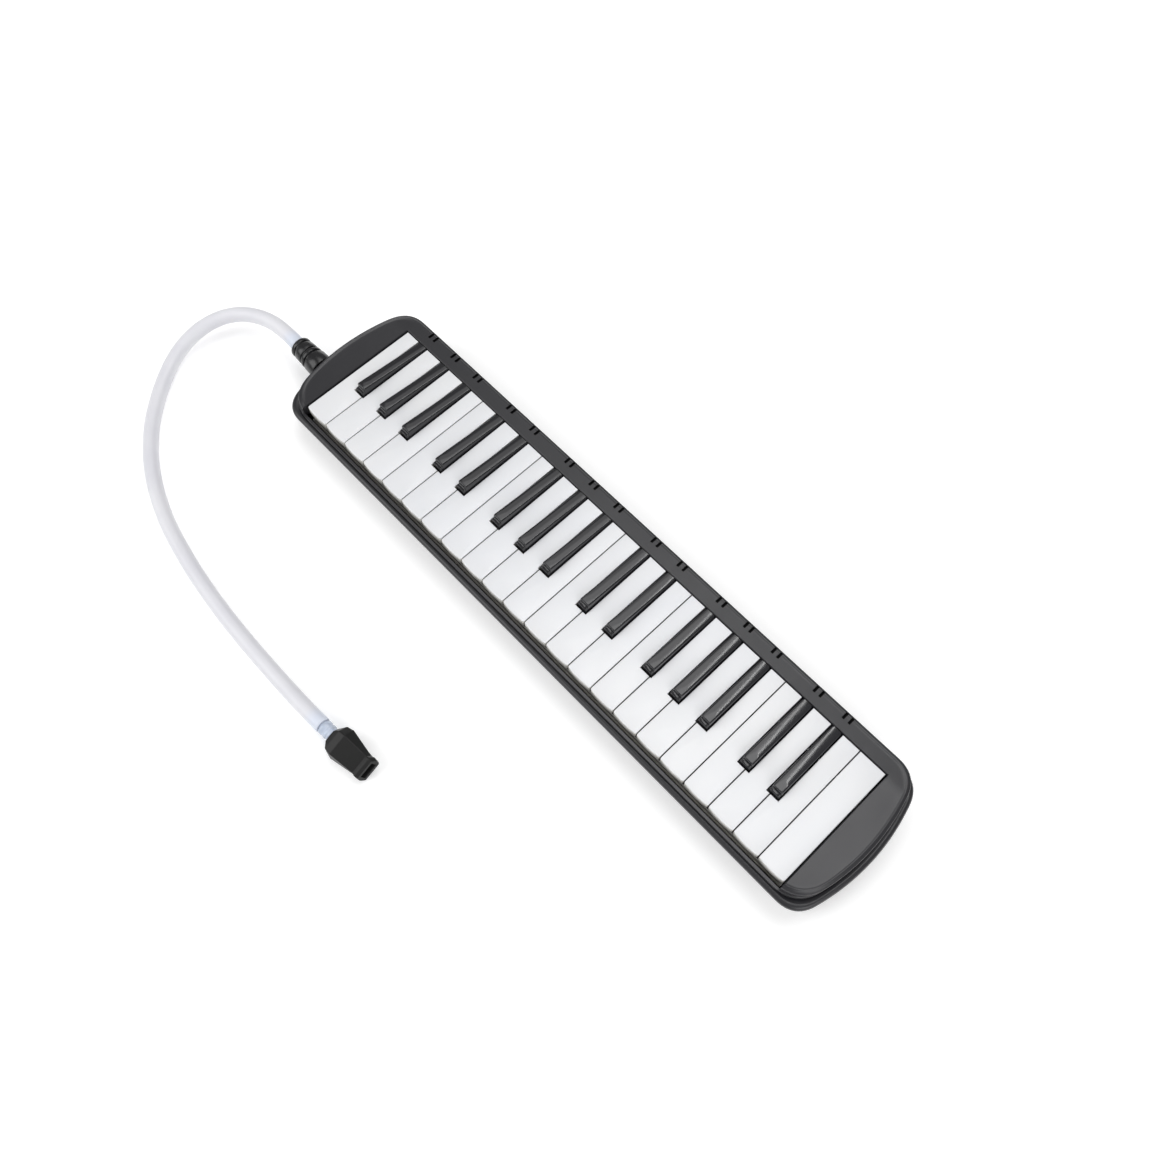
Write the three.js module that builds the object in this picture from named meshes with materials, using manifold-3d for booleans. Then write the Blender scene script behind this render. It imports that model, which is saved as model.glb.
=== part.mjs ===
// A 37-key melodica with its blow hose and mouthpiece, in millimetres.
// +X points to the treble end, +Y to the rear edge and +Z up from the table.
// The origin is under the middle of the body, on the table.
import * as THREE from "three";
import { mergeVertices } from "three/addons/utils/BufferGeometryUtils.js";
import { ConvexGeometry } from "three/addons/geometries/ConvexGeometry.js";
import Module from "manifold-3d";

const wasm = await Module();
wasm.setup();

// ---- Driving dimensions ----
const GAP = 0.3; // clearance between pieces that meet face to face
const CUT = 60; // reach of a cutting tool past the body

// The body's ends curve back from their middle by this much for each square millimetre of depth.
const BOW = 0.0039;
const CASE = { halfLength: 211, halfDepth: 48.4, height: 25.5, wall: 2.4, flange: 2.6 };
// From the table up: height, how far the ends and the sides are drawn in, and the corner's size.
const CASE_PROFILE = [
  [0, 9.5, 14, 8], [1.2, 6.4, 10.4, 9], [4, 4.2, 7.2, 10.5], [8.5, 2.6, 4.9, 12],
  [22.5, 0.2, 0.2, 12.5], [24, 0, 0, 12.5], [25.5, 0.9, 0.9, 12.5],
];
const CASE_MOUTH = { halfLength: 204.5, front: -43.9, rear: 44.2, corner: 10 };
const COVER = { halfLength: 206.3, front: -45.4, rear: 47.3, corner: 12, top: 34.7, skin: 2.4, edge: 0.8 };
const PANEL = { front: -44.5, corner: 17 }; // the raised ends, which stop a little behind the low front edge
const WINDOW = { halfLength: 187.6, rear: 36, front: -43.8, skirt: 1.8 };
const RAIL = { underside: 31.7, frontTop: 29.2, frontCorner: 16, edge: 0.5 };
const NOTCH = { width: 1.6, spacing: 4, front: 42, depth: 2.2 };

const WHITE = { count: 22, pitch: 17, gap: 0.9, top: 33.5, bottom: 27.5, front: -41, bow: 0.55, corner: 0.9 };
const BLACK = { halfWidth: 3.6, topHalfWidth: 3, front: -13, rearTop: 34, frontTop: 39 };
const BLACK_STEP = { depth: 1.9, top: 36.1, halfWidth: 3.3 }; // the ledge below a black key's front edge
const BLACK_CLEARANCE = 0.5;
const NOTCH_CLEARANCE = 0.9; // from a black key's front to the white keys' notch
const KEY_REAR = 35.5;
const PIVOT = { y: 20, z: 24, rodRadius: 1.4, boreRadius: 1.8 };
const LUG = { front: 15, bottom: 21 }; // the deep part of a key round its pivot
const TAIL = { halfWidth: 3.2, bottom: 22, top: 26.6, rear: 40.5 };
const PAD = { front: 34.6, bottom: 20, inset: 0.3 };

const FRAME = { halfLength: 187.1, front: -41, rear: 14, bottom: 17, top: 19, endBracket: 186.3 };
const LEDGE = { halfLength: 185, front: -40, rear: -33, top: 21.6 };
const FELT = { inset: 0.5, top: 23.5 };
const SPRINGS = { halfLength: 186, front: 41.5, rear: 44, bottom: 30.7, top: 31.3, tip: 37, tipBottom: 28.6 };

const CHEST = { left: -186, right: 186, front: 24.2, rear: 40.7, bottom: 10, top: 19.7, wall: 1.8 };
const ARM = { left: -199, right: -189.7, front: -24, rear: 28, top: 25 }; // leads the air in from the socket
const BRIDGE = { left: -195, right: -185, front: 24.4, rear: 34 }; // joins the arm to the chest
const CHEST_COVER = { thickness: 1.5, rearInset: 1 };
const VALVE = { halfWidth: 1.6, front: 35.5, rear: 38.6 };
const REED_PLATE = { front: 26.9, rear: 38.5, thickness: 1 };
const TONGUE = { halfWidth: 1.1, front: 28, rear: 37.8 };
const TONGUE_SLOT = { halfWidth: 1.4, front: 35.6, rear: 38 };

const BLOW = { y: -14, z: 19, boreRadius: 5, socketRadius: 6.2, stemRadius: 4.7, face: -210.2 };
const HOSE = { radius: 4.78, sides: 14, steps: 68 };
const DRAIN = { y: 28, z: 13, holeRadius: 4.4, needleShift: 6 };
const SPRING_COIL = { from: 195, to: 203.3, radius: 2.6, turns: 5, wire: 0.3 };
const SCREW = { headRadius: 2.9, headTop: 2.6, shankRadius: 1.3, bossRadius: 4, bore: 1.65 };
// The first three screws hold the cover down, the other two hold the key frame.
const COVER_SCREWS = [[-193, -29], [193, -29], [193, 12]];
const FRAME_SCREWS = [[-93, -30], [93, -30]];

// Semitones from F that are black keys, and each black key's shift from the gap below it.
const OCTAVE = 12;
const BLACK_SHIFT = { 1: -3, 3: 0, 5: 3, 8: -1.5, 10: 1.5 };
const KEY_COUNT = 37;

// The hose's middle line, from the plug round to the mouthpiece.
const HOSE_ROUTE = [
  [-235.0, -14.0, 19.0], [-246.0, -14.0, 19.0], [-258.0, -14.9, 18.7], [-270.0, -18.6, 18.0],
  [-280.5, -25.5, 16.8], [-288.0, -35.2, 15.0], [-292.0, -46.8, 12.7], [-292.6, -59.0, 10.2],
  [-289.8, -71.5, 7.8], [-283.6, -84.0, 6.0], [-273.9, -97.2, 5.1], [-260.5, -111.2, 4.8],
  [-244.0, -123.6, 4.8], [-224.5, -134.0, 4.8], [-202.5, -142.0, 4.8], [-180.5, -147.0, 4.8],
  [-156.0, -150.8, 4.8], [-128.0, -153.3, 4.8], [-100.0, -154.3, 4.9], [-72.0, -154.4, 5.9],
  [-52.0, -154.1, 8.1], [-38.3, -153.4, 9.0],
];
const MOUTHPIECE = { back: [-30, -152.95, 9.1], yaw: 3, pitch: 0, roll: 22, length: 27.8 };

// ---- Solids ----
function solid(geometry) {
  const bare = geometry.index ? geometry.toNonIndexed() : geometry.clone();
  bare.deleteAttribute("normal");
  bare.deleteAttribute("uv");
  const merged = mergeVertices(bare, 1e-4);
  return new wasm.Manifold(new wasm.Mesh({
    numProp: 3,
    vertProperties: merged.attributes.position.array,
    triVerts: new Uint32Array(merged.index.array),
  }));
}

function geometryOf(body) {
  const { vertProperties, triVerts } = body.getMesh();
  const geometry = new THREE.BufferGeometry();
  geometry.setAttribute("position", new THREE.BufferAttribute(new Float32Array(vertProperties), 3));
  geometry.setIndex(new THREE.BufferAttribute(new Uint32Array(triVerts), 1));
  geometry.computeVertexNormals();
  return geometry;
}

function box(x0, x1, y0, y1, z0, z1) {
  const geometry = new THREE.BoxGeometry(x1 - x0, y1 - y0, z1 - z0);
  geometry.translate((x0 + x1) / 2, (y0 + y1) / 2, (z0 + z1) / 2);
  return solid(geometry);
}

// A cylinder or cone between two places along one axis, centred on the other two coordinates.
function rod(axis, a, b, from, to, radius, endRadius = radius, sides = 24) {
  const geometry = new THREE.CylinderGeometry(endRadius, radius, to - from, sides);
  geometry.translate(0, (from + to) / 2, 0);
  if (axis === "z") geometry.rotateX(Math.PI / 2).translate(a, b, 0);
  if (axis === "x") geometry.rotateZ(-Math.PI / 2).translate(0, a, b);
  return solid(geometry);
}

function joined(bodies) {
  return bodies.reduce((whole, body) => whole.add(body));
}

function without(body, tools) {
  return tools.reduce((left, tool) => left.subtract(tool), body);
}

// A turned piece on the X axis: pairs of [distance along -X, radius], closed on the axis.
function turned(stations, x, y, z, sides = 24) {
  const profile = stations.map(([along, radius]) => new THREE.Vector2(radius, along));
  const geometry = new THREE.LatheGeometry(profile, sides);
  geometry.rotateZ(Math.PI / 2).translate(x, y, z);
  return solid(geometry);
}

// ---- The body's plan: straight long sides, bowed ends and round corners ----
function bodyPlan(halfLength, front, rear, frontCorner, rearCorner) {
  const frontEnd = front + frontCorner;
  const rearEnd = rear - rearCorner;
  const endX = (y) => halfLength - BOW * y * y;
  const slope = (y) => -2 * BOW * y;
  const bowX = endX(frontEnd) + (slope(frontEnd) * (rearEnd - frontEnd)) / 2;
  const frontX = endX(frontEnd) - slope(frontEnd) * frontCorner;
  const rearX = endX(rearEnd) + slope(rearEnd) * rearCorner;
  const plan = new THREE.Shape();
  plan.moveTo(frontCorner - frontX, front);
  plan.lineTo(frontX - frontCorner, front);
  plan.quadraticCurveTo(frontX, front, endX(frontEnd), frontEnd);
  plan.quadraticCurveTo(bowX, (frontEnd + rearEnd) / 2, endX(rearEnd), rearEnd);
  plan.quadraticCurveTo(rearX, rear, rearX - rearCorner, rear);
  plan.lineTo(rearCorner - rearX, rear);
  plan.quadraticCurveTo(-rearX, rear, -endX(rearEnd), rearEnd);
  plan.quadraticCurveTo(-bowX, (frontEnd + rearEnd) / 2, -endX(frontEnd), frontEnd);
  plan.quadraticCurveTo(-frontX, front, frontCorner - frontX, front);
  return plan;
}

// The plan raised between two heights, with an upper edge rounded inwards by edge.
function raised(plan, from, to, edge = 0) {
  const options = { depth: to - from, bevelEnabled: false, curveSegments: 6 };
  if (!edge) return solid(new THREE.ExtrudeGeometry(plan, options).translate(0, 0, from));
  Object.assign(options, { depth: CUT, bevelEnabled: true, bevelSegments: 2 });
  Object.assign(options, { bevelThickness: edge, bevelSize: edge, bevelOffset: -edge });
  const whole = solid(new THREE.ExtrudeGeometry(plan, options).translate(0, 0, to - edge - CUT));
  return whole.intersect(box(-300, 300, -100, 100, from, to));
}

// A convex solid through some of the case's profile, drawn in by a wall's thickness.
function caseHull(profile, wall, heightOf) {
  const points = profile.flatMap(([z, endInset, sideInset, corner]) => {
    const depth = CASE.halfDepth - sideInset - wall;
    const plan = bodyPlan(CASE.halfLength - endInset - wall, -depth, depth, corner, corner);
    return plan.getPoints(6).map((point) => new THREE.Vector3(point.x, point.y, heightOf(z)));
  });
  return solid(new ConvexGeometry(points));
}

// ---- Keys ----
// Every key's place: white keys by their left edge, black keys by their middle.
function keyPlaces() {
  const places = [];
  const left = (-WHITE.count * WHITE.pitch) / 2;
  let white = 0;
  for (let semitone = 0; semitone < KEY_COUNT; semitone++) {
    const shift = BLACK_SHIFT[semitone % OCTAVE];
    const edge = left + white * WHITE.pitch;
    if (shift === undefined) {
      places.push({ black: false, x0: edge + WHITE.gap / 2, x1: edge + WHITE.pitch - WHITE.gap / 2 });
      white += 1;
    } else {
      places.push({ black: true, x: edge + shift });
    }
  }
  const slot = BLACK.halfWidth + BLACK_CLEARANCE;
  places.forEach((key, index) => {
    const before = places[index - 1];
    const after = places[index + 1];
    key.rear0 = key.black ? key.x - BLACK.halfWidth : key.x0;
    key.rear1 = key.black ? key.x + BLACK.halfWidth : key.x1;
    if (!key.black && before?.black) key.rear0 = before.x + slot;
    if (!key.black && after?.black) key.rear1 = after.x - slot;
    const even = left + ((index + 0.5) * WHITE.count * WHITE.pitch) / KEY_COUNT;
    key.tail = THREE.MathUtils.clamp(even, key.rear0 + TAIL.halfWidth, key.rear1 - TAIL.halfWidth);
  });
  return places;
}

// The pivot lug, the tail behind it and the valve pad under the tail's end.
function keyTail(key) {
  const x0 = key.tail - TAIL.halfWidth;
  const x1 = key.tail + TAIL.halfWidth;
  const under = WHITE.bottom + 0.5;
  return [
    box(x0, x1, LUG.front, KEY_REAR - 0.5, LUG.bottom, under),
    box(x0, x1, PIVOT.y, TAIL.rear, TAIL.bottom, TAIL.top),
    box(x0 + PAD.inset, x1 - PAD.inset, PAD.front, TAIL.rear - PAD.inset, PAD.bottom, TAIL.bottom + 0.5),
  ];
}

function pivotBore(key) {
  const reach = TAIL.halfWidth + 1;
  const bore = PIVOT.boreRadius;
  return rod("x", PIVOT.y, PIVOT.z, key.tail - reach, key.tail + reach, bore, bore, 8);
}

function whiteKey(key) {
  const { x0, x1, rear0, rear1 } = key;
  const { front, bow, corner } = WHITE;
  const notchFront = BLACK.front - NOTCH_CLEARANCE;
  const plan = new THREE.Shape();
  plan.moveTo(x0, front + corner);
  plan.quadraticCurveTo(x0, front, x0 + corner, front - 0.1);
  plan.quadraticCurveTo((x0 + x1) / 2, front - 2 * bow, x1 - corner, front - 0.1);
  plan.quadraticCurveTo(x1, front, x1, front + corner);
  plan.lineTo(x1, rear1 < x1 ? notchFront : KEY_REAR);
  if (rear1 < x1) {
    plan.lineTo(rear1, notchFront);
    plan.lineTo(rear1, KEY_REAR);
  }
  plan.lineTo(rear0, KEY_REAR);
  if (rear0 > x0) {
    plan.lineTo(rear0, notchFront);
    plan.lineTo(x0, notchFront);
  }
  const options = { depth: WHITE.top - WHITE.bottom, bevelEnabled: false, curveSegments: 3 };
  const plate = solid(new THREE.ExtrudeGeometry(plan, options).translate(0, 0, WHITE.bottom));
  return joined([plate, ...keyTail(key)]).subtract(pivotBore(key));
}

// A black key: its top rises to the front and ends above a ledge, and its upper edges lean inwards.
function blackKey(key) {
  const pair = (halfWidth, y, z) => [-halfWidth, halfWidth].map((w) => new THREE.Vector3(key.x + w, y, z));
  const { halfWidth, topHalfWidth, front, rearTop, frontTop } = BLACK;
  const face = front + BLACK_STEP.depth;
  const slab = [
    ...pair(halfWidth, KEY_REAR, WHITE.bottom), ...pair(halfWidth, face, WHITE.bottom),
    ...pair(halfWidth, KEY_REAR, rearTop - 1), ...pair(BLACK_STEP.halfWidth, face, BLACK_STEP.top),
    ...pair(topHalfWidth, KEY_REAR, rearTop), ...pair(topHalfWidth, face + 0.8, frontTop),
    ...pair(topHalfWidth, face + 0.2, frontTop - 0.6),
  ];
  const step = [
    ...pair(halfWidth, front, WHITE.bottom), ...pair(halfWidth, face + 1, WHITE.bottom),
    ...pair(BLACK_STEP.halfWidth, front + 0.2, BLACK_STEP.top),
    ...pair(BLACK_STEP.halfWidth, face + 1, BLACK_STEP.top),
  ];
  const top = [slab, step].map((points) => solid(new ConvexGeometry(points)));
  return joined([...top, ...keyTail(key)]).subtract(pivotBore(key));
}

// ---- Case ----
function screwBoss([x, y], to) {
  return rod("z", x, y, 1, to, SCREW.bossRadius, SCREW.bossRadius, 16);
}

function screwBore([x, y], from, to) {
  return rod("z", x, y, from, to, SCREW.bore, SCREW.bore, 12);
}

function lowerCase() {
  const { height, wall, flange } = CASE;
  const shoulder = 22.5;
  const outer = caseHull(CASE_PROFILE, 0, (z) => z);
  const lower = CASE_PROFILE.filter(([z]) => z <= shoulder);
  const roof = height - flange;
  const cavity = caseHull(lower, wall, (z) => wall + (z * (roof - wall)) / shoulder);
  const { halfLength, front, rear, corner } = CASE_MOUTH;
  const mouth = raised(bodyPlan(halfLength, front, rear, corner, corner), roof - 1, height + 1);
  const screws = [...COVER_SCREWS, ...FRAME_SCREWS];
  const bosses = screws.map((at, i) => screwBoss(at, i < COVER_SCREWS.length ? 20 : FRAME.bottom - 0.5));
  const tub = joined([without(outer, [cavity, mouth]), ...bosses]);
  const sinks = screws.map(([x, y]) => rod("z", x, y, -1, 3, SCREW.headRadius + 0.4));
  const bores = screws.map((at) => screwBore(at, -1, 30));
  const socketHole = rod("x", BLOW.y, BLOW.z, -225, -195, BLOW.socketRadius + GAP);
  const drainHole = rod("x", DRAIN.y, DRAIN.z, 198, 215, DRAIN.holeRadius);
  const airSlots = [-60, -20, 20, 60].map((x) => box(x - 12, x + 12, 28, 31, -1, 4));
  return without(tub, [...sinks, ...bores, socketHole, drainHole, ...airSlots]);
}

function topCover(places) {
  const { halfLength, front, rear, corner, top, skin, edge } = COVER;
  const foot = CASE.height + GAP;
  const lowPlan = bodyPlan(halfLength, front, rear, RAIL.frontCorner, corner);
  const highPlan = bodyPlan(halfLength, PANEL.front, rear, PANEL.corner, corner);
  const outer = raised(lowPlan, foot, RAIL.frontTop, RAIL.edge).add(raised(highPlan, foot, top, edge));
  const window = box(-WINDOW.halfLength, WINDOW.halfLength, WINDOW.front, WINDOW.rear, 0, CUT);
  const frontStep = box(-WINDOW.halfLength, WINDOW.halfLength, -CUT, WINDOW.front + 1, RAIL.frontTop, CUT);
  const pocketCorners = [PANEL.corner - skin, corner - skin];
  const pocketPlan = bodyPlan(halfLength - skin, PANEL.front + skin, rear - skin, ...pocketCorners);
  const pocket = raised(pocketPlan, foot - 1, top - skin);
  const panelInner = WINDOW.halfLength + WINDOW.skirt;
  const pockets = [[-220, -panelInner], [panelInner, 220]].map(([x0, x1]) =>
    pocket.intersect(box(x0, x1, -CUT, CUT, 0, CUT)));
  const underRail = box(-panelInner - 1, panelInner + 1, WINDOW.rear - 1, rear - skin, 0, RAIL.underside);
  const posts = COVER_SCREWS.map(([x, y]) => rod("z", x, y, foot, top - 1, 3.2, 3.2, 16));
  const notches = places.filter((key) => key.black).flatMap((key) => [-1, 1].map((side) => {
    const x = key.x + (side * NOTCH.spacing) / 2;
    return box(x - NOTCH.width / 2, x + NOTCH.width / 2, NOTCH.front, rear + 1, top - NOTCH.depth, CUT);
  }));
  const shell = without(outer, [window, frontStep, ...pockets, underRail, ...notches]);
  return without(joined([shell, ...posts]), COVER_SCREWS.map((at) => screwBore(at, 20, 31)));
}

function caseScrew(tip) {
  const { headRadius, headTop, shankRadius } = SCREW;
  const head = rod("z", 0, 0, 0.4, headTop, headRadius, headRadius, 16);
  const shank = rod("z", 0, 0, headTop - 0.2, tip, shankRadius, shankRadius, 10);
  const slot = box(-2, 2, -0.4, 0.4, 0, 1.2);
  return head.add(shank).subtract(slot).subtract(slot.rotate(0, 0, 90));
}

// ---- Key action ----
const BRACKETS_AT = [3, 8, 13, 18, 23, 27, 32]; // between this key and the next

function bracketX(places, index) {
  return (places[index].tail + places[index + 1].tail) / 2;
}

function keyFrame(places) {
  const { y, z, boreRadius } = PIVOT;
  const { halfLength, front, rear, bottom, top, endBracket } = FRAME;
  const plate = box(-halfLength, halfLength, front, rear, bottom, top);
  const ledge = box(-LEDGE.halfLength, LEDGE.halfLength, LEDGE.front, LEDGE.rear, top - 0.5, LEDGE.top);
  const xs = [-endBracket, ...BRACKETS_AT.map((index) => bracketX(places, index)), endBracket];
  const brackets = xs.map((x) => box(x - 0.8, x + 0.8, y - 7, y + 3.8, bottom, z + 3));
  const bores = xs.map((x) => rod("x", y, z, x - 2, x + 2, boreRadius, boreRadius, 12));
  const holes = FRAME_SCREWS.map((at) => screwBore(at, 10, 30));
  return without(joined([plate, ledge, ...brackets]), [...bores, ...holes]);
}

function keyRestFelt() {
  const { halfLength, front, rear, top } = LEDGE;
  return box(-halfLength, halfLength, front + FELT.inset, rear - FELT.inset, top + GAP, FELT.top);
}

// One strip of spring steel under the rear rail, with a finger over each key's tail.
function keySprings(places) {
  const { halfLength, front, rear, bottom, top, tip, tipBottom } = SPRINGS;
  const strip = box(-halfLength, halfLength, front, rear, bottom, top);
  const side = [[front + 0.3, bottom], [front + 0.3, top], [tip, tipBottom + 0.5], [tip, tipBottom]];
  const fingers = places.map((key) => solid(new ConvexGeometry(
    side.flatMap(([y, z]) => [-1.2, 1.2].map((w) => new THREE.Vector3(key.tail + w, y, z))),
  )));
  return joined([strip, ...fingers]);
}

// ---- Air chest ----
// The chest, its arm and the bridge between them, drawn in by inset, from bottom up to each one's top.
function chestBlocks(inset, bottom, lowTop, armTop) {
  const block = ({ left, right, front, rear }, top) =>
    box(left + inset, right - inset, front + inset, rear - inset, bottom, top);
  const bridge = { ...BRIDGE, right: BRIDGE.right + 3 * inset };
  return joined([block(CHEST, lowTop), block(ARM, armTop), block(bridge, lowTop)]);
}

function reedChamber(places) {
  const { right, bottom, top, wall } = CHEST;
  const outer = chestBlocks(0, bottom, top, ARM.top);
  const space = chestBlocks(wall, bottom - 1, top - wall, ARM.top - wall);
  const { halfWidth, front, rear } = VALVE;
  const slots = places.map(({ tail }) =>
    box(tail - halfWidth, tail + halfWidth, front, rear, top - 3, top + 1));
  const inlet = rod("x", BLOW.y, BLOW.z, ARM.left - 2, ARM.left + 4, BLOW.boreRadius - 0.6);
  const drain = rod("x", DRAIN.y + DRAIN.needleShift, DRAIN.z, right - 4, right + 2, 2.2, 2.2, 16);
  return without(outer, [space, ...slots, inlet, drain]);
}

function chamberCover() {
  const { left, right, front, rear, bottom } = CHEST;
  const top = bottom - GAP;
  const under = top - CHEST_COVER.thickness;
  const plate = box(left, right, front, rear - CHEST_COVER.rearInset, under, top);
  const arm = box(ARM.left + 1, ARM.right, ARM.front, ARM.rear, under, top);
  const bridge = box(BRIDGE.left, BRIDGE.right, BRIDGE.front, BRIDGE.rear, under, top);
  return joined([plate, arm, bridge]);
}

// A brass plate under the valve slots with one reed tongue for each note.
function reedPlate(keys) {
  const top = CHEST.top - CHEST.wall - GAP;
  const under = top - REED_PLATE.thickness;
  const end = CHEST.right - CHEST.wall - GAP;
  const first = Math.max(keys[0].tail - 4, -end);
  const last = Math.min(keys[keys.length - 1].tail + 4, end);
  const plate = box(first, last, REED_PLATE.front, REED_PLATE.rear, under, top);
  const strips = ({ halfWidth, front, rear }, from, to) => keys.map(({ tail }) =>
    box(tail - halfWidth, tail + halfWidth, front, rear, from, to));
  const slots = strips(TONGUE_SLOT, under - 1, top + 1);
  const tongues = strips(TONGUE, under - 0.5, under + 0.1);
  return without(plate, slots).add(joined(tongues));
}

// ---- Blow fitting, hose and mouthpiece ----
function blowSocket() {
  const outer = rod("x", BLOW.y, BLOW.z, BLOW.face, ARM.left - GAP, BLOW.socketRadius);
  return outer.subtract(rod("x", BLOW.y, BLOW.z, -220, -190, BLOW.boreRadius));
}

// A stem that pushes into the socket, then the ribbed grip outside the case.
function hosePlug() {
  const stem = BLOW.stemRadius;
  const rings = [
    [0, 0], [0, stem], [7.8, stem], [7.8, 7.7], [8.3, 8.1], [16.6, 7.85], [17.2, 7.1], [18.0, 7.1],
    [18.5, 7.45], [20.2, 7.4], [20.7, 6.8], [21.5, 6.8], [22.0, 7.15], [26.9, 6.95], [27.3, 6.6],
    [28.1, 6.6], [28.5, 6.85], [30.5, 6.75], [31.4, 6.2], [31.4, 0],
  ];
  return turned(rings, -203.3, BLOW.y, BLOW.z, 28);
}

function hose() {
  const path = new THREE.CatmullRomCurve3(HOSE_ROUTE.map((point) => new THREE.Vector3(...point)));
  const section = new THREE.Shape();
  for (let i = 0; i < HOSE.sides; i++) {
    const angle = (2 * Math.PI * i) / HOSE.sides;
    const point = [HOSE.radius * Math.cos(angle), HOSE.radius * Math.sin(angle)];
    if (i) section.lineTo(...point);
    else section.moveTo(...point);
  }
  section.closePath();
  return new THREE.ExtrudeGeometry(section, { steps: HOSE.steps, extrudePath: path, bevelEnabled: false });
}

// The mouthpiece and its nipple share one frame: x runs from the hose to the tip.
function mouthFrame() {
  const frame = new THREE.Group();
  frame.position.set(...MOUTHPIECE.back);
  const [yaw, pitch] = [MOUTHPIECE.yaw, MOUTHPIECE.pitch].map(THREE.MathUtils.degToRad);
  frame.rotation.set(0, pitch, yaw, "ZYX");
  return frame;
}

function hoseConnector() {
  const rings = [[0, 0], [0, 3.9], [3.2, 3.9], [3.2, 4.5], [4.8, 4.5], [4.8, 4.1], [7.5, 4.1], [7.5, 0]];
  return turned(rings, -GAP, 0, 0, 20);
}

// A flattened six-sided body that narrows to a ridged tip with a blowing slot.
function mouthpiece() {
  const section = (x, halfWidth, halfHeight, flat) => [
    [-halfWidth, 0], [-flat, -halfHeight], [flat, -halfHeight],
    [halfWidth, 0], [flat, halfHeight], [-flat, halfHeight],
  ].map(([y, z]) => new THREE.Vector3(x, y, z));
  const { length } = MOUTHPIECE;
  const body = solid(new ConvexGeometry([
    ...section(0, 5.4, 4.7, 3.6), ...section(3.6, 9, 5.9, 6.1),
    ...section(8.5, 10.2, 6.2, 6.6), ...section(length - 1.5, 6.7, 3.1, 5.8),
  ]));
  const lip = solid(new ConvexGeometry([
    ...section(length - 4.2, 6.9, 3.2, 5.9), ...section(length - 2.2, 7.6, 3.7, 6.3),
    ...section(length, 7.1, 3.3, 5.8),
  ]));
  const slot = box(length - 9, length + 1, -3.6, 3.6, -0.9, 0.9);
  return body.add(lip).subtract(slot).rotate(MOUTHPIECE.roll, 0, 0);
}

// ---- Water drain at the treble end ----
// Pushing the button draws the needle and its seal off the hole in the chest's end wall.
function drainButton() {
  const { y, z, needleShift } = DRAIN;
  const head = rod("x", y, z, 203.9, 207.9, 4, 3.7);
  const stem = rod("x", y, z, 193.5, 204, 1.5, 1.5, 12);
  const crank = box(191.2, 194, y - 1.5, y + needleShift + 1.3, z - 1.4, z + 1.4);
  const needle = rod("x", y + needleShift, z, 183.9, 192, 1.2, 1.2, 12);
  return joined([head, stem, crank, needle]);
}

function drainSeal() {
  return rod("x", DRAIN.y + DRAIN.needleShift, DRAIN.z, 182.4, 183.6, 2.9, 2.9, 16);
}

class SpringPath extends THREE.Curve {
  getPoint(t, target = new THREE.Vector3()) {
    const { from, to, radius, turns } = SPRING_COIL;
    const angle = 2 * Math.PI * turns * t;
    const x = THREE.MathUtils.lerp(from, to, t);
    return target.set(x, DRAIN.y + radius * Math.cos(angle), DRAIN.z + radius * Math.sin(angle));
  }
}

function drainSpring() {
  const wire = new THREE.Shape().absarc(0, 0, SPRING_COIL.wire, 0, 2 * Math.PI);
  const options = { steps: 50, extrudePath: new SpringPath(), bevelEnabled: false, curveSegments: 2 };
  return new THREE.ExtrudeGeometry(wire, options);
}

// ---- Materials ----
const shell = { color: 0x1b1b1d, roughness: 0.32, metalness: 0 };
const ivory = { color: 0xeeeef0, roughness: 0.25, metalness: 0 };
const ebony = { color: 0x18181a, roughness: 0.3, metalness: 0 };
const inner = { color: 0xd8d6cf, roughness: 0.6, metalness: 0 };
const steel = { color: 0xb9bcc0, roughness: 0.3, metalness: 1 };
const brass = { color: 0xc9a24a, roughness: 0.35, metalness: 1 };
const felt = { color: 0x2c2a2a, roughness: 0.95, metalness: 0 };
const rubber = { color: 0x2a2a2a, roughness: 0.8, metalness: 0 };
const vinyl = { color: 0xe4e4ea, roughness: 0.35, metalness: 0, transparent: true, opacity: 0.75 };

// ---- Assembly ----
const group = new THREE.Group();

function place(name, shape, look, parent = group) {
  const geometry = shape.isBufferGeometry ? shape : geometryOf(shape);
  const mesh = new THREE.Mesh(geometry, new THREE.MeshStandardMaterial(look));
  mesh.name = name;
  parent.add(mesh);
  return mesh;
}

const twoDigits = (n) => String(n).padStart(2, "0");
const places = keyPlaces();

place("lower_case", lowerCase(), shell);
place("top_cover", topCover(places), shell);
[...COVER_SCREWS, ...FRAME_SCREWS].forEach(([x, y], i) => {
  const tip = i < COVER_SCREWS.length ? 29.5 : 19.5;
  place(`case_screw_${i + 1}`, caseScrew(tip), steel).position.set(x, y, 0);
});

let whites = 0;
let blacks = 0;
for (const key of places) {
  if (key.black) place(`black_key_${twoDigits(++blacks)}`, blackKey(key), ebony);
  else place(`white_key_${twoDigits(++whites)}`, whiteKey(key), ivory);
}

place("key_frame", keyFrame(places), inner);
place("key_rest_felt", keyRestFelt(), felt);
place("key_pivot_rod", rod("x", PIVOT.y, PIVOT.z, -187, 187, PIVOT.rodRadius, PIVOT.rodRadius, 12), steel);
place("key_springs", keySprings(places), steel);

place("reed_chamber", reedChamber(places), inner);
place("chamber_cover", chamberCover(), inner);
const half = Math.ceil(KEY_COUNT / 2);
place("reed_plate_low", reedPlate(places.slice(0, half)), brass);
place("reed_plate_high", reedPlate(places.slice(half)), brass);

place("blow_socket", blowSocket(), shell);
place("hose_plug", hosePlug(), shell);
place("hose", hose(), vinyl);
const mouthEnd = mouthFrame();
group.add(mouthEnd);
place("hose_connector", hoseConnector(), vinyl, mouthEnd);
place("mouthpiece", mouthpiece(), shell, mouthEnd);

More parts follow.
